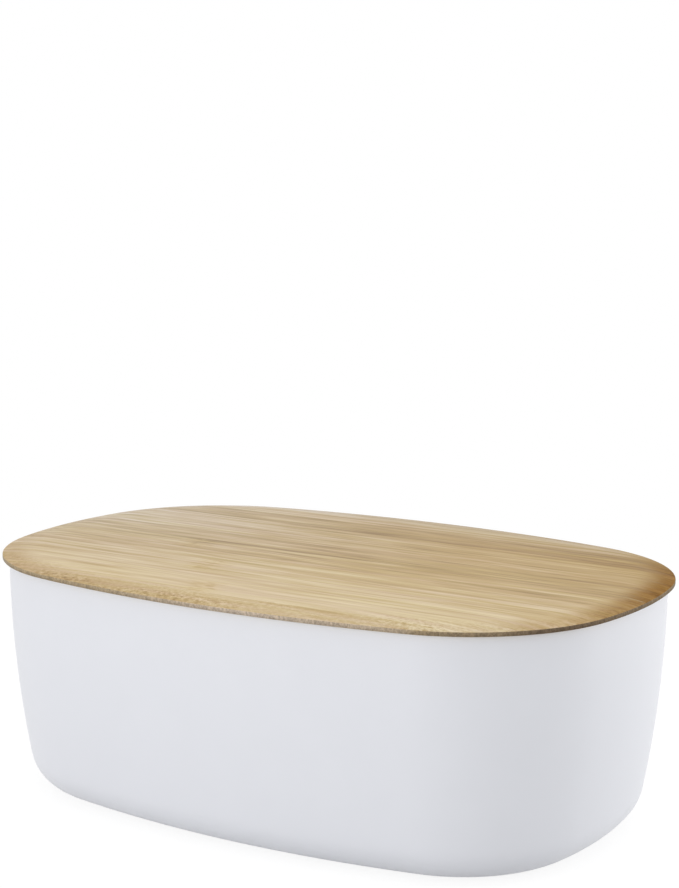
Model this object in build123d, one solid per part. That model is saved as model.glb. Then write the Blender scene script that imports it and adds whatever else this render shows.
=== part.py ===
from build123d import *
import math
import os
from collections import namedtuple

# Bread box: a moulded tub closed by a lift-off lid of laminated bamboo. Millimetres.
# The origin is on the surface that the tub stands on, at the middle of the plan.
# +X runs along the length, +Y to the back and +Z up. The lid lifts straight up.

# Overall size, measured over the lid
LENGTH = 345.0
WIDTH = 230.0
HEIGHT = 125.0

# Plan outline at the lid's edge: bowed sides and round corners, all tangent arcs
LONG_SIDE_RADIUS = 525.0
SHORT_SIDE_RADIUS = 208.0
CORNER_RADIUS = 84.5

# Tub: its side is upright at the rim and bows inward on its way down to a round foot
LID_OVERHANG = 3.5
WALL = 3.0
SIDE_BOW_RADIUS = 565.0
FOOT_ROUND = 21.5
FOOT_RING_WIDTH = 8.0
FOOT_RECESS = 1.0
FLOOR = 3.2
RIM_ROUND = 0.8

# Lid: two layers of flat-pressed bamboo strips, glued up as a board and trimmed to the outline
TOP_LAYER = 4.2
BASE_LAYER = 6.0
LID_EDGE = 2.2
LID_EDGE_EASE = 0.4
ROLL_WIDTH = 22.0
BASE_ROUND = 1.0
TOP_STRIPS = 12
BOARD_TRIM = 5.0

# Seal: a lipped band seated in a groove round the lid's base layer
SEAL_GAP = 1.8
GROOVE_DEPTH = 2.2
GROOVE_HEIGHT = 3.6
GROOVE_RISE = 1.4
SEAL_SEAT_CLEARANCE = 0.05
LIP_CLEARANCE = 0.3
LIP_COUNT = 2
LIP_ROOT = 0.9
LIP_TIP = 0.4
LIP_LIFT = 0.6

# Heights and insets that follow from the values above
RIM_Z = HEIGHT - TOP_LAYER
BASE_Z = RIM_Z - BASE_LAYER
GROOVE_Z = BASE_Z + GROOVE_RISE
FLOOR_Z = FOOT_RECESS + FLOOR
BORE_INSET = LID_OVERHANG + WALL
BASE_INSET = BORE_INSET + SEAL_GAP
GROOVE_INSET = BASE_INSET + GROOVE_DEPTH
STRIP_WIDTH = (WIDTH + 2 * BOARD_TRIM) / TOP_STRIPS
BASE_STRIPS = TOP_STRIPS - 1
HALF_TURN = 180

PlanArc = namedtuple("PlanArc", "centre radius start sweep")


def plan_arcs():
    """The eight arcs of the lid's outline, anticlockwise from the +X end, angles in degrees."""
    long_centre = Vector(0, WIDTH / 2 - LONG_SIDE_RADIUS)
    short_centre = Vector(LENGTH / 2 - SHORT_SIDE_RADIUS, 0)
    # A corner's centre stands where both side arcs, drawn in by the corner radius, cross.
    between = short_centre - long_centre
    to_long = LONG_SIDE_RADIUS - CORNER_RADIUS
    to_short = SHORT_SIDE_RADIUS - CORNER_RADIUS
    cosine = (to_long**2 + between.length**2 - to_short**2) / (2 * to_long * between.length)
    long_start = math.degrees(math.atan2(between.Y, between.X) - math.acos(cosine))
    corner = long_centre + Vector(to_long, 0).rotate(Axis.Z, long_start)
    short_end = math.degrees(math.atan2(corner.Y - short_centre.Y, corner.X - short_centre.X))

    short_sweep = 2 * short_end
    corner_sweep = long_start - short_end
    long_sweep = HALF_TURN - 2 * long_start
    arcs = []
    for turn in (0, HALF_TURN):
        arcs += [
            PlanArc(short_centre.rotate(Axis.Z, turn), SHORT_SIDE_RADIUS, turn - short_end, short_sweep),
            PlanArc(corner.rotate(Axis.Z, turn), CORNER_RADIUS, turn + short_end, corner_sweep),
            PlanArc(long_centre.rotate(Axis.Z, turn), LONG_SIDE_RADIUS, turn + long_start, long_sweep),
            PlanArc(
                Vector(-corner.X, corner.Y).rotate(Axis.Z, turn),
                CORNER_RADIUS,
                turn + HALF_TURN - long_start,
                corner_sweep,
            ),
        ]
    return arcs


PLAN = plan_arcs()


def plan_slab(inset, low, high):
    """A flat slab with the plan outline, drawn in by inset, between two heights."""
    arcs = [CenterArc(arc.centre, arc.radius - inset, arc.start, arc.sweep) for arc in PLAN]
    return Pos(0, 0, low) * extrude(make_face(arcs), high - low)


def ring(profile):
    """A profile carried round the plan. Its x is 0 at the lid's edge and negative inside; its y is height."""
    sectors = []
    for arc in PLAN:
        outward = Vector(1, 0, 0).rotate(Axis.Z, arc.start)
        section = Plane(arc.centre + outward * arc.radius, outward, outward.cross(Vector(0, 0, 1)))
        sectors.append(revolve(section * profile, Axis(arc.centre, (0, 0, 1)), arc.sweep))
    return Part() + sectors


def polygon(*points):
    """A flat face with straight edges."""
    return make_face(Polyline(*points, close=True))


def tub_side(inset, round_radius, floor_z):
    """The bowed side and foot round, from the rim down: arcs, and the point where the floor starts."""
    bow = SIDE_BOW_RADIUS - (inset - LID_OVERHANG)
    bow_centre = Vector(-LID_OVERHANG - SIDE_BOW_RADIUS, RIM_Z)
    drop = RIM_Z - floor_z - round_radius
    reach = math.sqrt((bow - round_radius) ** 2 - drop**2)
    round_centre = bow_centre + Vector(reach, -drop)
    turn = math.degrees(math.atan2(drop, reach))
    side = CenterArc(bow_centre, bow, 0, -turn)
    foot_round = CenterArc(round_centre, round_radius, -turn, turn - 90)
    return [side, foot_round], Vector(round_centre.X, floor_z)


def make_tub():
    """One moulding: wall, rim, floor, and the raised ring underneath that it stands on."""
    outside, foot_start = tub_side(LID_OVERHANG, FOOT_ROUND, 0)
    inside, floor_start = tub_side(BORE_INSET, FOOT_ROUND - WALL, FLOOR_Z)
    foot_end = foot_start - Vector(FOOT_RING_WIDTH, 0)
    recess_start = foot_end + Vector(-FOOT_RECESS, FOOT_RECESS)
    floor_join = Vector(recess_start.X, FLOOR_Z)
    profile = make_face(
        outside
        + [Polyline(foot_start, foot_end, recess_start, floor_join, floor_start)]
        + inside
        + [Line((-BORE_INSET, RIM_Z), (-LID_OVERHANG, RIM_Z))]
    )
    profile = fillet(profile.vertices().group_by(Axis.Y)[-1], RIM_ROUND)
    return ring(profile) + plan_slab(-recess_start.X, FOOT_RECESS, FLOOR_Z)


def make_top_layer():
    """The lid's upper layer: flat on top, rolling off to a thin upright edge that overhangs the tub."""
    fall = TOP_LAYER - LID_EDGE
    roll_radius = (ROLL_WIDTH**2 + fall**2) / (2 * fall)
    roll_angle = math.degrees(math.asin(ROLL_WIDTH / roll_radius))
    roll = CenterArc((-ROLL_WIDTH, HEIGHT - roll_radius), roll_radius, 90, -roll_angle)
    profile = make_face(
        [
            roll,
            Polyline((0, RIM_Z + LID_EDGE), (0, RIM_Z), (-ROLL_WIDTH, RIM_Z), (-ROLL_WIDTH, HEIGHT)),
        ]
    )
    profile = chamfer(profile.vertices().group_by(Axis.X)[-1], LID_EDGE_EASE)
    return ring(profile) + plan_slab(ROLL_WIDTH, RIM_Z, HEIGHT)


def make_base_layer():
    """The lid's lower layer, which drops inside the tub's rim, with the seal's groove round it."""
    slab = plan_slab(BASE_INSET, BASE_Z, RIM_Z)
    slab = fillet(slab.edges().group_by(Axis.Z)[0], BASE_ROUND)
    groove = polygon(
        (-GROOVE_INSET, GROOVE_Z),
        (-BORE_INSET, GROOVE_Z),
        (-BORE_INSET, GROOVE_Z + GROOVE_HEIGHT),
        (-GROOVE_INSET, GROOVE_Z + GROOVE_HEIGHT),
    )
    return slab - ring(groove)


def make_seal():
    """A silicone band that fills the groove, with soft lips that reach out to the tub's wall."""
    seat = -GROOVE_INSET + SEAL_SEAT_CLEARANCE
    root = -BASE_INSET
    tip = -BORE_INSET - LIP_CLEARANCE
    pitch = GROOVE_HEIGHT / LIP_COUNT
    outline = [(seat, GROOVE_Z), (root, GROOVE_Z)]
    for lip in range(LIP_COUNT):
        low = GROOVE_Z + lip * pitch + (pitch - LIP_ROOT) / 2
        outline += [
            (root, low),
            (tip, low + LIP_LIFT),
            (tip, low + LIP_LIFT + LIP_TIP),
            (root, low + LIP_ROOT),
        ]
    outline += [(root, GROOVE_Z + GROOVE_HEIGHT), (seat, GROOVE_Z + GROOVE_HEIGHT)]
    return ring(polygon(*outline))


def strips(layer, count):
    """A layer ripped along its glue lines into separate strips, from the front to the back."""
    box = layer.bounding_box()
    glue_lines = [(number - count / 2) * STRIP_WIDTH for number in range(1, count)]
    edges = [box.min.Y, *glue_lines, box.max.Y]
    pieces = []
    for front, back in zip(edges, edges[1:]):
        slab = Pos(0, (front + back) / 2, box.center().Z) * Box(box.size.X, back - front, box.size.Z)
        pieces.append(layer & slab)
    return pieces


def make_nodes():
    """Every separate piece of the bread box by name."""
    nodes = {"tub": make_tub(), "seal": make_seal()}
    layers = {
        "lid_top_strip": strips(make_top_layer(), TOP_STRIPS),
        "lid_base_strip": strips(make_base_layer(), BASE_STRIPS),
    }
    for name, pieces in layers.items():
        for number, piece in enumerate(pieces, start=1):
            nodes[f"{name}_{number:02d}"] = piece
    return nodes


os.makedirs("parts", exist_ok=True)
for node, shape in make_nodes().items():
    export_step(shape, f"parts/{node}.step")
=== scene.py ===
import math

import bmesh
import bpy
import numpy as np
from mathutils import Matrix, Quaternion, Vector


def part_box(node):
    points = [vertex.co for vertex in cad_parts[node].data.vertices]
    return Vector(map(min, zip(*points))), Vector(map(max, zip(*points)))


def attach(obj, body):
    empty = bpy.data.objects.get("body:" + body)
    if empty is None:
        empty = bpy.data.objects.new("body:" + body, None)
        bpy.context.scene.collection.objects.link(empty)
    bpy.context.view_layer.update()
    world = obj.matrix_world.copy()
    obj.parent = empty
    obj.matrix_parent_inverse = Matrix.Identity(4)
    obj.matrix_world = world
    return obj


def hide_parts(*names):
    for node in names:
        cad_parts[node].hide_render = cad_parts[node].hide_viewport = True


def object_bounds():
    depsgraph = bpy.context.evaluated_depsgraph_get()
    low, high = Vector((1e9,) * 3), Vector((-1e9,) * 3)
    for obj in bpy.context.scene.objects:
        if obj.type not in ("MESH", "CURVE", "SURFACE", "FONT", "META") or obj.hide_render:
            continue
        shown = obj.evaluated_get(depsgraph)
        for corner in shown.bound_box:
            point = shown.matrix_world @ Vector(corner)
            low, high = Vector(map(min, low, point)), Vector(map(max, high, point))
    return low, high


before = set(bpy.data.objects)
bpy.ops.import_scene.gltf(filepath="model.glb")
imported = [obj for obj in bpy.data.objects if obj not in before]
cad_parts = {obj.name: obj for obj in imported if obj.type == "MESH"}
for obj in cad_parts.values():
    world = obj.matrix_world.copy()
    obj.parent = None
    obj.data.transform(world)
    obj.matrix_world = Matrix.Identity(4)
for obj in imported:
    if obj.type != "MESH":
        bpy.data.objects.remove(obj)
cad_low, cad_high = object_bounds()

# Bread box: a white moulded tub with a lift-off lid of laminated bamboo. Metres, in the frame of the CAD.

# The photograph's frame and camera, from a fit of the object's outlines, with angles in degrees
PHOTO_WIDTH = 679
PHOTO_HEIGHT = 888
FOCAL_PIXELS = 2086.1
SENSOR_MM = 36.0
CAMERA_AZIMUTH = 31.976
CAMERA_ELEVATION = 15.441
CAMERA_ROLL = 0.185
CAMERA_DISTANCE = 1.0719
TARGET = Vector((0.0, 0.0, 0.060))
TARGET_PIXEL = (330.3, 680.9)

# Sizes that the frame's boxes give
HALF_LENGTH = cad_high.x
HALF_WIDTH = cad_high.y
HEIGHT = cad_high.z
RIM_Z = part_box("tub")[1].z
LID_OVERHANG = HALF_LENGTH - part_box("tub")[1].x

# Sizes of the solids that their boxes don't give
LONG_SIDE_RADIUS = 0.525
SHORT_SIDE_RADIUS = 0.208
CORNER_RADIUS = 0.0845
WALL = 0.003
SIDE_BOW_RADIUS = 0.565
FOOT_ROUND = 0.0215
FOOT_RING_WIDTH = 0.008
FOOT_RECESS = 0.001
FLOOR = 0.0032
RIM_ROUND = 0.0008
LID_EDGE = 0.0022
LID_EDGE_EASE = 0.0004
ROLL_WIDTH = 0.022
STRIP_WIDTH = 0.020

# How fine the meshes are
OUTLINE_STEP = 0.003
SIDE_STEPS = 28
ROUND_STEPS = 14
ARRIS_STEPS = 5
ROLL_STEPS = 20
SUPPORT = 0.0006
SHARP_ANGLE = math.radians(30)

QUARTER = math.pi / 2
FULL_TURN_DEGREES = 360
ROLL_SLOPE = 2 * (HEIGHT - RIM_Z - LID_EDGE) / ROLL_WIDTH

# In the materials below, scales are per metre and a bump is its height in metres and its strength.
# A span is four numbers: a value that runs from the first to the second comes to run from the third to
# the fourth, and is held at both ends.
WHITE = (1, 1, 1, 1)

# Tub: satin melamine, faintly mottled
MELAMINE_COLOURS = ((0.770, 0.782, 0.828, 1), (0.790, 0.802, 0.848, 1))
MELAMINE_ROUGHNESS = (0.3, 0.7, 0.36, 0.44)
MELAMINE_IOR = 1.5
MOTTLE_SCALE = (45.0, 45.0, 45.0)
SKIN_SCALE = (900.0, 900.0, 900.0)
SKIN_BUMP = (0.00002, 0.3)

# Seal: milky silicone
SILICONE_COLOURS = ((0.60, 0.60, 0.58, 1), (0.66, 0.66, 0.64, 1))
SILICONE_ROUGHNESS = (0.3, 0.7, 0.5, 0.6)
SILICONE_IOR = 1.41
CLOUD_SCALE = (120.0, 120.0, 120.0)
CLOUD_BUMP = (0.00005, 0.3)

# Bamboo: its colours from dark to light, the tones that they span, and its gloss
BAMBOO_COLOURS = ((0.30, 0.19, 0.085, 1), (0.575, 0.415, 0.205, 1), (0.80, 0.665, 0.45, 1))
TONES = (-0.8, 0.8, 0.0, 1.0)
BAMBOO_ROUGHNESS = (0.3, 0.7, 0.54, 0.44)
DRY_ROUGHNESS = 0.35
BAMBOO_IOR = 1.5
BAMBOO_SPECULAR = 0.15
BAMBOO_BUMP = (0.00008, 0.5)
FIBRE_HEIGHT = 0.4

# The upper layer's strips from the front to the back: how light each is, and where its knuckle lies
NO_KNUCKLE = 1.0
TOP_STRIPS = (
    (0.30, NO_KNUCKLE),
    (0.46, -0.015),
    (0.34, NO_KNUCKLE),
    (0.28, -0.040),
    (0.03, NO_KNUCKLE),
    (0.02, -0.075),
    (-0.10, NO_KNUCKLE),
    (0.15, NO_KNUCKLE),
    (0.10, NO_KNUCKLE),
    (-0.18, NO_KNUCKLE),
    (0.19, NO_KNUCKLE),
    (0.05, NO_KNUCKLE),
)

# The lower layer's strips get theirs by chance
LOWER_TONE = (0.0, 1.0, -0.15, 0.25)
LOWER_KNUCKLE = (0.0, 1.0, -0.25, 0.25)

# Streaks of the grain: length, width and share of the tone. They sway a little, and are calmer at the front
STREAKS = (
    (0.420, 0.0140, 0.6),
    (0.130, 0.0055, 1.1),
    (0.060, 0.0028, 1.25),
    (0.030, 0.0013, 0.9),
    (0.014, 0.0005, 0.5),
)
STRIP_SHIFT = (9.0, 5.0, 7.0)
SWAY = 0.0025
SWAY_SCALE = (14.0, 70.0, 0.0)
CALM_FRONT = (-0.10, -0.03, 0.72, 1.0)

# Dark fibre bundles: dashes along a strip, dots on a cut end
BUNDLE_SCALE = (28.0, 1000.0, 1000.0)
BUNDLE_REACH = (0.10, 0.40, 1.0, 0.0)
BUNDLE_TONE = -0.20

# Knuckles of the cane: yellowed patches with short dark flecks
KNUCKLE_REACH = (0.001, 0.014, 1.0, 0.0)
KNUCKLE_WOBBLE = 0.020
WOBBLE_SCALE = (0.0, 250.0, 250.0)
FLECK_SCALE = (200.0, 800.0, 800.0)
FLECKS = (0.42, 0.66, 0.0, 1.0)
FLECK_TONE = -0.35
KNUCKLE_TINT = (0.98, 0.96, 0.82, 1)
KNUCKLE_SHARE = 0.6

# Glue lines, worn faint in places
SEAM_REACH = (0.0001, 0.0007, 1.0, 0.0)
WEAR_SCALE = (9.0, 50.0, 0.0)
WEAR = (0.42, 0.62, 0.05, 0.5)
SEAM_TONE = -0.55

# Glue lines of the upper layer that show plainly: the place across, and from where to where along
PLAIN_SEAMS = (
    (0.0, -0.160, 0.040),
    (0.040, 0.005, 0.080),
    (-0.080, -0.115, -0.060),
    (-0.100, 0.035, 0.090),
)
PLAIN_REACH = (0.0003, 0.0022, 0.8, 0.0)
PLAIN_FADE = 0.03

# Ragged flecks where the roll cuts the fibres at a slant, weaker along the back and at the ends
SLANT = (0.03, 0.13, 0.0, 1.0)
BACK_WEAKER = (-0.02, 0.02, 1.0, 0.5)
ENDS_SHARE = 0.45
PATCH_SCALE = (22.0, 60.0, 0.0)
PATCHES = (0.40, 0.60, 0.35, 1.0)
RAGGED_SCALE = (420.0, 620.0, 620.0)
RAGGED_MIDDLE = 0.52
RAGGED_TONE = 3.6

# Some streaks are more golden and some more rosy
GOLDEN_TINT = (1.0, 1.015, 0.93, 1)
ROSY_TINT = (1.0, 0.985, 1.04, 1)
ROSY_SCALE = (9.0, 260.0, 260.0)
ROSY = (0.35, 0.65, 0.0, 1.0)

# Painted shade: the board darkens towards its back right and its +X end, which are lit less and show less
# sheen
PAINTED_SHADE_TINT = (0.76, 0.66, 0.45, 1)
PAINTED_SHADE_ALONG = (-HALF_LENGTH, HALF_LENGTH, 0.0, 1.0)
PAINTED_SHADE_ACROSS = (-0.03, 0.09, 0.0, 1.0)
X_END_ALONG = (0.10, 0.15, 0.0, 0.25)
X_END_ACROSS = (-0.02, 0.02, 0.0, 1.0)

# Painted sheen: it pales towards its back left and its back edge, where it reflects the bright surroundings
PAINTED_SHEEN_TINT = (1.06, 1.18, 1.60, 1)
PALE_ALONG = (-0.16, 0.06, 1.0, 0.0)
PALE_ACROSS = (-0.09, 0.03, 0.0, 1.0)
PALE_BACK = (0.065, 0.100, 0.0, 0.9)

# How dark the roll's cut fibres turn, by the degrees from +X that the outline faces: partly oil that they
# drink, partly painted shade where the roll faces away from the lamps
OIL_AND_SHADE_TINT = (0.56, 0.40, 0.17, 1)
OIL_FALL = (0.20, 0.88, 0.0, 1.0)
OIL_UNEVENNESS = 0.5
OILED_AND_SHADED = (
    (-180, 0.0),
    (-155, 0.25),
    (-128, 0.58),
    (-104, 0.48),
    (-90, 0.25),
    (-75, 0.0),
    (-60, 0.0),
    (-37, 0.38),
    (-28, 0.18),
    (-8, 0.62),
    (5, 1.0),
    (15, 0.95),
    (30, 0.68),
    (60, 0.0),
    (180, 0.0),
)

# How far painted sheen pales them, by the same degrees
PAINTED_ROLL_SHEEN = (
    (-180, 0.0),
    (-90, 0.0),
    (-75, 0.20),
    (-45, 0.20),
    (-30, 0.0),
    (45, 0.0),
    (60, 0.35),
    (110, 0.45),
    (150, 0.10),
    (180, 0.0),
)

# The lid's upright edge: its colours from dark to light, and its painted light and shade by the same degrees,
# with a painted highlight where it faces the front. It gets painted shade towards its foot.
EDGE_COLOURS = ((0.143, 0.10, 0.065, 1), (0.34, 0.262, 0.160, 1), (0.50, 0.41, 0.32, 1))
EDGE_PAINTED_LIGHT = (
    (-180, 0.45),
    (-105, 0.50),
    (-96, 0.56),
    (-88, 1.0),
    (-80, 0.81),
    (-73, 0.37),
    (-59, 0.30),
    (-48, 0.24),
    (-37, 0.04),
    (-20, 0.03),
    (8, 0.22),
    (45, 0.10),
    (80, 0.69),
    (180, 0.45),
)
UPRIGHT = (0.55, 0.9, 1.0, 0.0)
EDGE_SHADE = (RIM_Z, RIM_Z + LID_EDGE, 0.75, 1.1)
DOT_SCALE = (850.0, 850.0, 700.0)
DOTS = (0.3, 0.7, 0.65, 1.35)

# Floor: pale paper, which glows to the camera a little less near the object, where it takes the shadow
FLOOR_SIZE = 16.0
FLOOR_DROP = 0.0002
PAPER = (0.65, 0.65, 0.65, 1)
SHADOW_FADE = (0.30, 0.65, 1.0, 0.0)
SHADOW_SHARE = 0.18
FLOOR_GLOW = (0.0, 1.0, 1.0, 0.87)

# Light: the sky's strength, unseen and seen, and softboxes with azimuth, elevation, distance, size and power
SKY = (0.0, 1.0, 0.75, 1.0)
SOFTBOXES = (
    ("front_softbox", -15, 12, 1.6, (2.0, 0.7), 8.7),
    ("right_softbox", 135, 6, 1.5, (1.4, 0.6), 9.6),
    ("overhead_softbox", 0, 89, 1.5, (1.4, 1.4), 2.3),
)


# Plan outline, told by the direction in which each point faces

def corner_arc():
    """The corner arc's centre in the first quarter, and the directions at which it meets its neighbours."""
    long_centre = Vector((0, HALF_WIDTH - LONG_SIDE_RADIUS))
    short_centre = Vector((HALF_LENGTH - SHORT_SIDE_RADIUS, 0))
    between = short_centre - long_centre
    to_long = LONG_SIDE_RADIUS - CORNER_RADIUS
    to_short = SHORT_SIDE_RADIUS - CORNER_RADIUS
    cosine = (to_long**2 + between.length_squared - to_short**2) / (2 * to_long * between.length)
    long_start = math.atan2(between.y, between.x) - math.acos(cosine)
    centre = long_centre + to_long * Vector((math.cos(long_start), math.sin(long_start)))
    short_end = math.atan2(centre.y - short_centre.y, centre.x - short_centre.x)
    return centre, short_end, long_start


CORNER_CENTRE, SHORT_END, LONG_START = corner_arc()


def outline_directions():
    """Directions round the plan, closely and about evenly spaced, with one at each meeting of two arcs."""
    quarter = []
    for radius, start, end in (
        (SHORT_SIDE_RADIUS, 0, SHORT_END),
        (CORNER_RADIUS, SHORT_END, LONG_START),
        (LONG_SIDE_RADIUS, LONG_START, QUARTER),
    ):
        steps = math.ceil(radius * (end - start) / OUTLINE_STEP)
        quarter += list(np.linspace(start, end, steps, endpoint=False))
    half = quarter + [2 * QUARTER - angle for angle in [QUARTER] + quarter[:0:-1]]
    return np.array(half + [angle + 2 * QUARTER for angle in half])


def outline(directions):
    """Points of the lid's outline, and their outward normals."""
    normals = np.stack([np.cos(directions), np.sin(directions)], 1)
    folded = np.arctan2(abs(normals[:, 1]), abs(normals[:, 0]))
    arcs = [folded < SHORT_END, folded < LONG_START]
    centre_x = np.select(arcs, [HALF_LENGTH - SHORT_SIDE_RADIUS, CORNER_CENTRE.x], 0)
    centre_y = np.select(arcs, [0, CORNER_CENTRE.y], HALF_WIDTH - LONG_SIDE_RADIUS)
    radius = np.select(arcs, [SHORT_SIDE_RADIUS, CORNER_RADIUS], LONG_SIDE_RADIUS)
    centres = np.stack([centre_x, centre_y], 1) * np.sign(normals)
    return centres + radius[:, None] * normals, normals


OUTLINE, NORMALS = outline(outline_directions())


# Profiles: x is 0 at the lid's edge and negative inside, and y is height

def arc(centre, radius, start, end, steps):
    """Points along an arc of a profile, both ends included."""
    angles = np.linspace(start, end, steps + 1)
    return [(centre[0] + radius * math.cos(a), centre[1] + radius * math.sin(a)) for a in angles]


def tub_side(inset, round_radius, floor_z):
    """The bowed side below the rim's round, and the foot's round down to the floor."""
    bow = SIDE_BOW_RADIUS - (inset - LID_OVERHANG)
    bow_centre = (-LID_OVERHANG - SIDE_BOW_RADIUS, RIM_Z)
    drop = RIM_Z - floor_z - round_radius
    reach = math.sqrt((bow - round_radius) ** 2 - drop**2)
    turn = math.atan2(drop, reach)
    side = arc(bow_centre, bow, -math.asin(RIM_ROUND / bow), -turn, SIDE_STEPS)
    round_centre = (bow_centre[0] + reach, floor_z + round_radius)
    return side + arc(round_centre, round_radius, -turn, -QUARTER, ROUND_STEPS)[1:]


def tub_profile():
    """From the middle of the underside, out and up over the rim, and down to the middle of the floor."""
    bore = LID_OVERHANG + WALL
    floor_z = FOOT_RECESS + FLOOR
    outside = tub_side(LID_OVERHANG, FOOT_ROUND, 0)
    inside = tub_side(bore, FOOT_ROUND - WALL, floor_z)
    foot_end = outside[-1][0] - FOOT_RING_WIDTH
    recess = foot_end - FOOT_RECESS
    underside = [(recess - SUPPORT, FOOT_RECESS), (recess, FOOT_RECESS), (foot_end, 0)]
    round_z = RIM_Z - RIM_ROUND
    rim = arc((-LID_OVERHANG - RIM_ROUND, round_z), RIM_ROUND, 0, QUARTER, ARRIS_STEPS)
    rim += arc((RIM_ROUND - bore, round_z), RIM_ROUND, QUARTER, 2 * QUARTER, ARRIS_STEPS)
    return underside + outside[::-1] + rim[1:-1] + inside + [(inside[-1][0] - SUPPORT, floor_z)]


def top_layer_profile():
    """From the middle of the lid's underside, out round its upright edge, and up the roll to the flat top."""
    fall = HEIGHT - RIM_Z - LID_EDGE
    roll_radius = (ROLL_WIDTH**2 + fall**2) / (2 * fall)
    roll_centre = (-ROLL_WIDTH, HEIGHT - roll_radius)
    across = ROLL_WIDTH - LID_EDGE_EASE
    up = math.sqrt((roll_radius - LID_EDGE_EASE) ** 2 - across**2)
    meeting = math.atan2(up, across)
    low = (-LID_EDGE_EASE, RIM_Z + LID_EDGE_EASE)
    high = (-LID_EDGE_EASE, roll_centre[1] + up)
    return (
        [(-ROLL_WIDTH - SUPPORT, RIM_Z)]
        + arc(low, LID_EDGE_EASE, -QUARTER, 0, ARRIS_STEPS)
        + arc(high, LID_EDGE_EASE, 0, meeting, ARRIS_STEPS)
        + arc(roll_centre, roll_radius, meeting, QUARTER, ROLL_STEPS)[1:]
        + [(-ROLL_WIDTH - SUPPORT, HEIGHT)]
    )


# Meshes

def carried_round(profile):
    """A closed mesh: the profile carried round the plan, with a flat face across each of its two ends."""
    count = len(OUTLINE)
    mesh = bmesh.new()
    rings = []
    for x, z in profile:
        rings.append([mesh.verts.new((*(point + normal * x), z)) for point, normal in zip(OUTLINE, NORMALS)])
    for low, high in zip(rings, rings[1:]):
        for here in range(count):
            after = (here + 1) % count
            mesh.faces.new((low[here], low[after], high[after], high[here]))
    mesh.faces.new(rings[0][::-1])
    mesh.faces.new(rings[-1])
    return mesh


def keep_between(mesh, front, back):
    """Cuts away what lies in front of one plane across Y or behind the other, and closes the cuts."""
    for place, side in ((front, -1), (back, 1)):
        everything = mesh.verts[:] + mesh.edges[:] + mesh.faces[:]
        bmesh.ops.bisect_plane(
            mesh, geom=everything, plane_co=(0, place, 0), plane_no=(0, side, 0), clear_outer=True
        )
        rim = [edge for edge in mesh.edges if edge.is_boundary]
        if rim:
            bmesh.ops.contextual_create(mesh, geom=rim)


def add_piece(name, mesh, material, body, slot, node, **values):
    """A finished mesh as an object that stands for a CAD node. The values are for its material to read."""
    bmesh.ops.recalc_face_normals(mesh, faces=mesh.faces[:])
    data = bpy.data.meshes.new(name)
    mesh.to_mesh(data)
    mesh.free()
    data.polygons.foreach_set("use_smooth", [True] * len(data.polygons))
    data.set_sharp_from_angle(angle=SHARP_ANGLE)
    data.materials.append(material)
    for key, value in values.items():
        data.attributes.new(key, "FLOAT", "POINT").data.foreach_set("value", [value] * len(data.vertices))
    piece = bpy.data.objects.new(name, data)
    bpy.context.scene.collection.objects.link(piece)
    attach(piece, body)
    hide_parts(node)


# Materials

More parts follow.
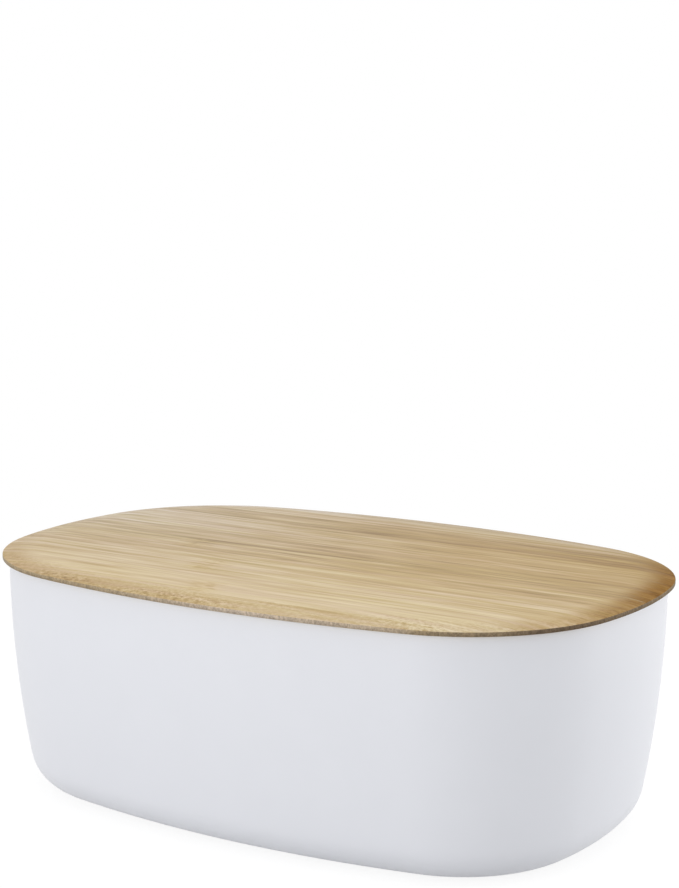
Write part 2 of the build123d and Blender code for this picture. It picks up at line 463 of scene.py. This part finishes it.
class Graph:
    """Short calls that add shader nodes. An input takes a number, a tuple or another node's socket."""

    # The sockets of the Mix node that carry colours
    FIRST_COLOUR = 6
    SECOND_COLOUR = 7
    MIXED_COLOUR = 2

    def __init__(self, tree):
        self.tree = tree
        tree.nodes.clear()

    def add(self, kind, inputs=None, **settings):
        node = self.tree.nodes.new("ShaderNode" + kind)
        for name, value in settings.items():
            setattr(node, name, value)
        for name, value in (inputs or {}).items():
            self.feed(node.inputs[name], value)
        return node

    def feed(self, socket, value):
        if isinstance(value, bpy.types.NodeSocket):
            self.tree.links.new(value, socket)
        else:
            socket.default_value = value

    def place(self):
        """Where a point is, in the object's own frame."""
        return self.add("TexCoord").outputs["Object"]

    def attribute(self, name):
        return self.add("Attribute", attribute_name=name).outputs["Fac"]

    def math(self, operation, *values):
        node = self.add("Math", operation=operation)
        for socket, value in zip(node.inputs, values):
            self.feed(socket, value)
        return node.outputs[0]

    def vector(self, operation, first, second):
        return self.add("VectorMath", {0: first, 1: second}, operation=operation).outputs[0]

    def parts(self, vector):
        return self.add("SeparateXYZ", {0: vector}).outputs

    def noise(self, place, scale, detail=2.0, roughness=0.5):
        scaled = self.vector("MULTIPLY", place, scale)
        inputs = {"Vector": scaled, "Scale": 1.0, "Detail": detail, "Roughness": roughness}
        return self.add("TexNoise", inputs).outputs["Fac"]

    def centred(self, noise, middle=0.5):
        """A noise less its middle, so that it swings about 0."""
        return self.math("SUBTRACT", noise, middle)

    def span(self, value, low, high, to_low=0.0, to_high=1.0, smooth=False):
        """A value between low and high, stretched to another span and held at its ends."""
        inputs = {"Value": value, "From Min": low, "From Max": high, "To Min": to_low, "To Max": to_high}
        kind = "SMOOTHSTEP" if smooth else "LINEAR"
        return self.add("MapRange", inputs, interpolation_type=kind).outputs["Result"]

    def mix(self, factor, first, second, blend="MIX"):
        node = self.add("Mix", data_type="RGBA", blend_type=blend)
        self.feed(node.inputs["Factor"], factor)
        self.feed(node.inputs[self.FIRST_COLOUR], first)
        self.feed(node.inputs[self.SECOND_COLOUR], second)
        return node.outputs[self.MIXED_COLOUR]

    def ramp(self, factor, stops):
        node = self.add("ValToRGB", {0: factor})
        points = node.color_ramp.elements
        while len(points) < len(stops):
            points.new(1.0)
        for point, (place, colour) in zip(points, stops):
            point.position = place
            point.color = colour
        return node.outputs[0]

    def even_ramp(self, factor, colours):
        """Colours at even steps from 0 to 1."""
        last = len(colours) - 1
        return self.ramp(factor, [(number / last, colour) for number, colour in enumerate(colours)])

    def bump(self, height, distance, strength):
        inputs = {"Height": height, "Distance": distance, "Strength": strength}
        return self.add("Bump", inputs).outputs["Normal"]

    def surface(self, shader):
        output = self.add("OutputMaterial")
        self.tree.links.new(shader, output.inputs["Surface"])

    def finish(self, **inputs):
        """A surface of the principled shader. Its inputs' names are written with _ for a blank."""
        named = {name.replace("_", " "): value for name, value in inputs.items()}
        self.surface(self.add("BsdfPrincipled", named).outputs[0])


def new_material(name):
    """An empty material, and the graph to fill it with."""
    material = bpy.data.materials.new(name)
    material.use_nodes = True
    return material, Graph(material.node_tree)


def melamine():
    """Satin white moulding: faintly mottled, with a fine skin."""
    material, graph = new_material("melamine")
    place = graph.place()
    mottle = graph.noise(place, MOTTLE_SCALE, detail=3.0)
    skin = graph.noise(place, SKIN_SCALE)
    graph.finish(
        Base_Color=graph.mix(mottle, *MELAMINE_COLOURS),
        Roughness=graph.span(mottle, *MELAMINE_ROUGHNESS),
        IOR=MELAMINE_IOR,
        Normal=graph.bump(skin, *SKIN_BUMP),
    )
    return material


def silicone():
    """Soft milky seal."""
    material, graph = new_material("silicone")
    cloud = graph.noise(graph.place(), CLOUD_SCALE)
    graph.finish(
        Base_Color=graph.mix(cloud, *SILICONE_COLOURS),
        Roughness=graph.span(cloud, *SILICONE_ROUGHNESS),
        IOR=SILICONE_IOR,
        Normal=graph.bump(cloud, *CLOUD_BUMP),
    )
    return material


class Bamboo:
    """Oiled bamboo strips with the grain along X, for the upper or the lower layer of the lid."""

    def __init__(self, name, upper):
        self.material, self.graph = new_material(name)
        self.upper = upper
        coordinates = self.graph.add("TexCoord").outputs
        self.place = coordinates["Object"]
        self.along, self.across, self.level = self.graph.parts(self.place)
        self.end_on, self.side_on, self.upward = self.graph.parts(coordinates["Normal"])
        self.find_strip()
        self.lay_grain()
        self.add_bundles()
        self.add_knuckles()
        self.add_seams()
        self.find_roll()
        self.add_ragged_flecks()
        self.colour_board()
        self.oil_roll_with_painted_light()
        if upper:
            self.colour_edge()
        self.add_shader()

    def add_tone(self, value, share):
        """Lightens by a share of a value, or darkens where that is negative."""
        self.tone = self.graph.math("MULTIPLY_ADD", value, share, self.tone)

    def add_tint(self, share, tint, plain=WHITE):
        """Multiplies the colour by a mix of the plain tint and another."""
        mixed = self.graph.mix(share, plain, tint)
        self.colour = self.graph.mix(1.0, self.colour, mixed, "MULTIPLY")

    def find_strip(self):
        """Which strip a point is in, its tone and knuckle, and how far off the nearer glue line is."""
        graph = self.graph
        offset = 0.0 if self.upper else 0.5
        row = graph.math("ADD", graph.math("DIVIDE", self.across, STRIP_WIDTH), offset)
        number = graph.math("FLOOR", row)
        self.chance = graph.add("TexWhiteNoise", {"W": number}, noise_dimensions="1D").outputs
        off_middle = graph.math("ABSOLUTE", graph.math("SUBTRACT", graph.math("FRACT", row), 0.5))
        self.to_seam = graph.math("MULTIPLY", graph.math("SUBTRACT", 0.5, off_middle), STRIP_WIDTH)
        if self.upper:
            self.tone = graph.attribute("tone")
            self.knuckle_place = graph.attribute("knuckle")
        else:
            self.tone = graph.span(self.chance["Value"], *LOWER_TONE)
            self.knuckle_place = graph.span(self.chance["Value"], *LOWER_KNUCKLE)

    def lay_grain(self):
        """Each strip has its own swaying grain, from broad streaks down to single fibres."""
        graph = self.graph
        shift = graph.vector("MULTIPLY", self.chance["Color"], STRIP_SHIFT)
        straight = graph.vector("ADD", self.place, shift)
        wave = graph.centred(graph.noise(straight, SWAY_SCALE, detail=1.0))
        sway = graph.add("CombineXYZ", {"Y": graph.math("MULTIPLY", wave, SWAY)})
        self.grain = graph.vector("ADD", straight, sway.outputs[0])
        self.streaks = []
        figure = 0.0
        for length, width, share in STREAKS:
            streak = graph.noise(self.grain, (1 / length, 1 / width, 1 / width))
            figure = graph.math("MULTIPLY_ADD", graph.centred(streak), share, figure)
            self.streaks.append(streak)
        self.add_tone(figure, graph.span(self.across, *CALM_FRONT))

    def add_bundles(self):
        """Dark bundles of fibres."""
        graph = self.graph
        scaled = graph.vector("MULTIPLY", self.grain, BUNDLE_SCALE)
        cells = graph.add("TexVoronoi", {"Vector": scaled, "Scale": 1.0})
        self.add_tone(graph.span(cells.outputs["Distance"], *BUNDLE_REACH), BUNDLE_TONE)

    def add_knuckles(self):
        """The knuckle's place, with a wavy outline, and the dark flecks on it."""
        graph = self.graph
        wobble = graph.noise(self.grain, WOBBLE_SCALE, detail=1.0)
        off_knuckle = graph.math("SUBTRACT", self.along, self.knuckle_place)
        off_knuckle = graph.math("MULTIPLY_ADD", graph.centred(wobble), KNUCKLE_WOBBLE, off_knuckle)
        self.knuckle = graph.span(graph.math("ABSOLUTE", off_knuckle), *KNUCKLE_REACH, smooth=True)
        flecks = graph.span(graph.noise(self.grain, FLECK_SCALE, detail=1.0), *FLECKS)
        self.add_tone(graph.math("MULTIPLY", self.knuckle, flecks), FLECK_TONE)

    def add_seams(self):
        """Glue lines, faint in some places and plain in a few."""
        graph = self.graph
        worn = graph.noise(self.place, WEAR_SCALE, detail=1.0)
        self.seam = graph.math("MULTIPLY", graph.span(self.to_seam, *SEAM_REACH), graph.span(worn, *WEAR))
        for place, start, end in PLAIN_SEAMS if self.upper else ():
            off_line = graph.math("ABSOLUTE", graph.math("SUBTRACT", self.across, place))
            line = graph.span(off_line, *PLAIN_REACH)
            begun = graph.span(self.along, start, start + PLAIN_FADE, smooth=True)
            not_over = graph.span(self.along, end - PLAIN_FADE, end, 1.0, 0.0, smooth=True)
            line = graph.math("MULTIPLY", graph.math("MULTIPLY", line, begun), not_over)
            self.seam = graph.math("MAXIMUM", self.seam, line)
        self.add_tone(self.seam, SEAM_TONE)

    def find_roll(self):
        """How steeply the roll falls away, from 0 on the flat to 1 where it meets the edge, and which way."""
        graph = self.graph
        level_share = graph.math("MULTIPLY", self.upward, self.upward)
        sideways = graph.math("SQRT", graph.math("SUBTRACT", 1.0, level_share))
        self.fall = graph.math("DIVIDE", sideways, ROLL_SLOPE)
        self.direction = graph.math("ARCTAN2", self.side_on, self.end_on)

    def round_the_edge(self, shares):
        """A share that changes with the direction that the outline faces, told in degrees from +X."""
        turn = self.graph.span(self.direction, -2 * QUARTER, 2 * QUARTER)
        stops = [(0.5 + degrees / FULL_TURN_DEGREES, (share, share, share, 1)) for degrees, share in shares]
        return self.graph.ramp(turn, stops)

    def add_ragged_flecks(self):
        """Flecks that the slanting cut leaves on the roll, most of all along the front."""
        graph = self.graph
        weaker = graph.span(self.side_on, *BACK_WEAKER)
        on_sides = graph.math("MULTIPLY", graph.math("ABSOLUTE", self.side_on), weaker)
        on_ends = graph.math("MULTIPLY", graph.math("ABSOLUTE", self.end_on), ENDS_SHARE)
        slant = graph.span(graph.math("MAXIMUM", on_sides, on_ends), *SLANT)
        patches = graph.span(graph.noise(self.place, PATCH_SCALE, detail=1.0), *PATCHES)
        slant = graph.math("MULTIPLY", slant, patches)
        ragged = graph.noise(self.grain, RAGGED_SCALE, detail=3.0, roughness=0.7)
        ragged = graph.centred(ragged, RAGGED_MIDDLE)
        self.add_tone(graph.math("MULTIPLY", ragged, slant), RAGGED_TONE)

    def region(self, along, across, smooth=False):
        """A part of the board, told by a span along it, which may be smooth, and a span across it."""
        on_length = self.graph.span(self.along, *along, smooth=smooth)
        on_width = self.graph.span(self.across, *across)
        return self.graph.math("MULTIPLY", on_length, on_width)

    def colour_board(self):
        """The tones as colours, with the tints of knuckles and streaks, and painted shade and painted sheen
        across the board.
        """
        graph = self.graph
        self.colour = graph.even_ramp(graph.span(self.tone, *TONES), BAMBOO_COLOURS)
        self.add_tint(graph.math("MULTIPLY", self.knuckle, KNUCKLE_SHARE), KNUCKLE_TINT)
        self.add_tint(graph.span(graph.noise(self.grain, ROSY_SCALE), *ROSY), ROSY_TINT, GOLDEN_TINT)
        # Painted shade: darker towards the back right and the +X end
        back_right = self.region(PAINTED_SHADE_ALONG, PAINTED_SHADE_ACROSS)
        x_end = self.region(X_END_ALONG, X_END_ACROSS, smooth=True)
        self.add_tint(graph.math("ADD", back_right, x_end), PAINTED_SHADE_TINT)
        # Painted sheen: paler towards the back left and along the back edge
        back_left = self.region(PALE_ALONG, PALE_ACROSS)
        back_edge = graph.span(self.across, *PALE_BACK)
        self.add_tint(graph.math("MAXIMUM", back_left, back_edge), PAINTED_SHEEN_TINT)

    def oil_roll_with_painted_light(self):
        """Where the roll cuts across the fibres, they drink oil and take painted shade and painted sheen by
        the way they face, with an uneven border.
        """
        graph = self.graph
        uneven = self.fall
        for streak in self.streaks[1:4]:
            uneven = graph.math("MULTIPLY_ADD", graph.centred(streak), OIL_UNEVENNESS, uneven)
        self.cut = graph.span(uneven, *OIL_FALL, smooth=True)
        # Oil with painted shade, then painted sheen, each by the way the roll faces
        for shares, tint in ((OILED_AND_SHADED, OIL_AND_SHADE_TINT), (PAINTED_ROLL_SHEEN, PAINTED_SHEEN_TINT)):
            self.add_tint(graph.math("MULTIPLY", self.cut, self.round_the_edge(shares)), tint)

    def colour_edge(self):
        """The upright edge: dotted with cut fibres, with painted light and shade by the way it faces, and
        painted shade towards its foot.
        """
        graph = self.graph
        dots = graph.span(graph.noise(self.grain, DOT_SCALE, roughness=0.7), *DOTS)
        # Painted shade towards the edge's foot
        shade = graph.math("MULTIPLY", graph.span(self.level, *EDGE_SHADE), dots)
        # Painted light and shade by the way the edge faces
        edge = graph.even_ramp(self.round_the_edge(EDGE_PAINTED_LIGHT), EDGE_COLOURS)
        edge = graph.mix(1.0, edge, shade, "MULTIPLY")
        upright = graph.span(graph.math("ABSOLUTE", self.upward), *UPRIGHT)
        self.colour = graph.mix(upright, self.colour, edge)

    def add_shader(self):
        """Satin, duller where the +X end is cut, with sunk glue lines and raised fibres."""
        graph = self.graph
        dry = graph.math("MULTIPLY", self.cut, graph.span(self.end_on, 0.0, ROLL_SLOPE))
        gloss = graph.span(self.streaks[2], *BAMBOO_ROUGHNESS)
        fibres = graph.math("MULTIPLY", self.streaks[-1], FIBRE_HEIGHT)
        height = graph.math("MULTIPLY_ADD", self.seam, -1.0, fibres)
        graph.finish(
            Base_Color=self.colour,
            Roughness=graph.math("MULTIPLY_ADD", dry, DRY_ROUGHNESS, gloss),
            IOR=BAMBOO_IOR,
            Specular_IOR_Level=BAMBOO_SPECULAR,
            Normal=graph.bump(height, *BAMBOO_BUMP),
        )


# The pieces

def dress():
    """Each CAD node gets its finish, or the piece that stands for it."""
    add_piece("tub_moulding", carried_round(tub_profile()), melamine(), "tub", "tub", "tub")
    top_wood = Bamboo("bamboo_top", upper=True).material
    base_wood = Bamboo("bamboo_base", upper=False).material
    rubber = silicone()
    layer = carried_round(top_layer_profile())
    strips = iter(TOP_STRIPS)
    for node in sorted(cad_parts):
        if node.startswith("lid_top_strip"):
            low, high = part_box(node)
            strip = layer.copy()
            keep_between(strip, low.y, high.y)
            tone, knuckle = next(strips)
            name = node.replace("lid_", "")
            add_piece(name, strip, top_wood, "lid", "bamboo", node, tone=tone, knuckle=knuckle)
        elif node != "tub":
            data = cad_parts[node].data
            data.materials.clear()
            data.materials.append(rubber if node == "seal" else base_wood)
    layer.free()


# Stage, light and camera

def white_to_view(graph):
    """1 where a ray comes from the camera or by a mirror or glass, else 0."""
    path = graph.add("LightPath")
    seen = graph.math("MAXIMUM", path.outputs["Is Camera Ray"], path.outputs["Is Glossy Ray"])
    return graph.math("MAXIMUM", seen, path.outputs["Is Transmission Ray"])


def make_floor():
    """Pale paper. To the camera it is white, and near the object a little of its shadow shows."""
    half = FLOOR_SIZE / 2
    data = bpy.data.meshes.new("floor")
    corners = [(x * half, y * half, -FLOOR_DROP) for x, y in ((-1, -1), (1, -1), (1, 1), (-1, 1))]
    data.from_pydata(corners, [], [(0, 1, 2, 3)])
    material, graph = new_material("floor_white")
    distance = graph.add("VectorMath", {0: graph.place()}, operation="LENGTH").outputs["Value"]
    near = graph.span(distance, *SHADOW_FADE, smooth=True)
    paper = graph.add("BsdfDiffuse", {"Color": PAPER})
    faint = graph.add("BsdfDiffuse", {"Color": graph.math("MULTIPLY", near, SHADOW_SHARE)})
    glow = graph.add("Emission", {"Strength": graph.span(near, *FLOOR_GLOW)})
    shown = graph.add("AddShader", {0: faint.outputs[0], 1: glow.outputs[0]})
    both = graph.add("MixShader", {0: white_to_view(graph), 1: paper.outputs[0], 2: shown.outputs[0]})
    graph.surface(both.outputs[0])
    data.materials.append(material)
    floor = bpy.data.objects.new("floor", data)
    bpy.context.scene.collection.objects.link(floor)


def make_world():
    """An even white sky, which shows as plain white and lights a little less than that."""
    world = bpy.data.worlds.new("studio")
    bpy.context.scene.world = world
    world.use_nodes = True
    graph = Graph(world.node_tree)
    strength = graph.span(white_to_view(graph), *SKY)
    back = graph.add("Background", {"Color": WHITE, "Strength": strength})
    output = graph.add("OutputWorld")
    graph.tree.links.new(back.outputs[0], output.inputs["Surface"])


def stand_off(name, data, azimuth, elevation, distance):
    """A lamp or camera that faces the target. Azimuth 0 stands in front, and 90 degrees at the +X end."""
    a = math.radians(azimuth)
    e = math.radians(elevation)
    away = Vector((math.sin(a) * math.cos(e), -math.cos(a) * math.cos(e), math.sin(e)))
    thing = bpy.data.objects.new(name, data)
    thing.location = TARGET + away * distance
    thing.rotation_mode = "QUATERNION"
    thing.rotation_quaternion = away.to_track_quat("Z", "Y")
    bpy.context.scene.collection.objects.link(thing)
    return thing


def make_softbox(name, azimuth, elevation, distance, size, power):
    """A lamp of a width and a height that faces the object."""
    lamp = bpy.data.lights.new(name, "AREA")
    lamp.shape = "RECTANGLE"
    lamp.size, lamp.size_y = size
    lamp.energy = power
    stand_off(name, lamp, azimuth, elevation, distance)


def make_camera():
    """The photograph's camera, turned so that the target falls on its pixel."""
    data = bpy.data.cameras.new("camera")
    data.sensor_width = SENSOR_MM
    data.lens = SENSOR_MM * FOCAL_PIXELS / PHOTO_HEIGHT
    camera = stand_off("camera", data, CAMERA_AZIMUTH, CAMERA_ELEVATION, CAMERA_DISTANCE)
    pitch = math.atan((TARGET_PIXEL[1] - PHOTO_HEIGHT / 2) / FOCAL_PIXELS)
    yaw = math.atan((TARGET_PIXEL[0] - PHOTO_WIDTH / 2) * math.cos(pitch) / FOCAL_PIXELS)
    camera.rotation_quaternion = (
        camera.rotation_quaternion
        @ Quaternion((0, 0, 1), math.radians(CAMERA_ROLL))
        @ Quaternion((0, 1, 0), yaw)
        @ Quaternion((1, 0, 0), pitch)
    )
    bpy.context.scene.camera = camera


dress()
make_floor()
make_world()
for softbox in SOFTBOXES:
    make_softbox(*softbox)
make_camera()
bpy.context.scene.view_settings.view_transform = "Standard"
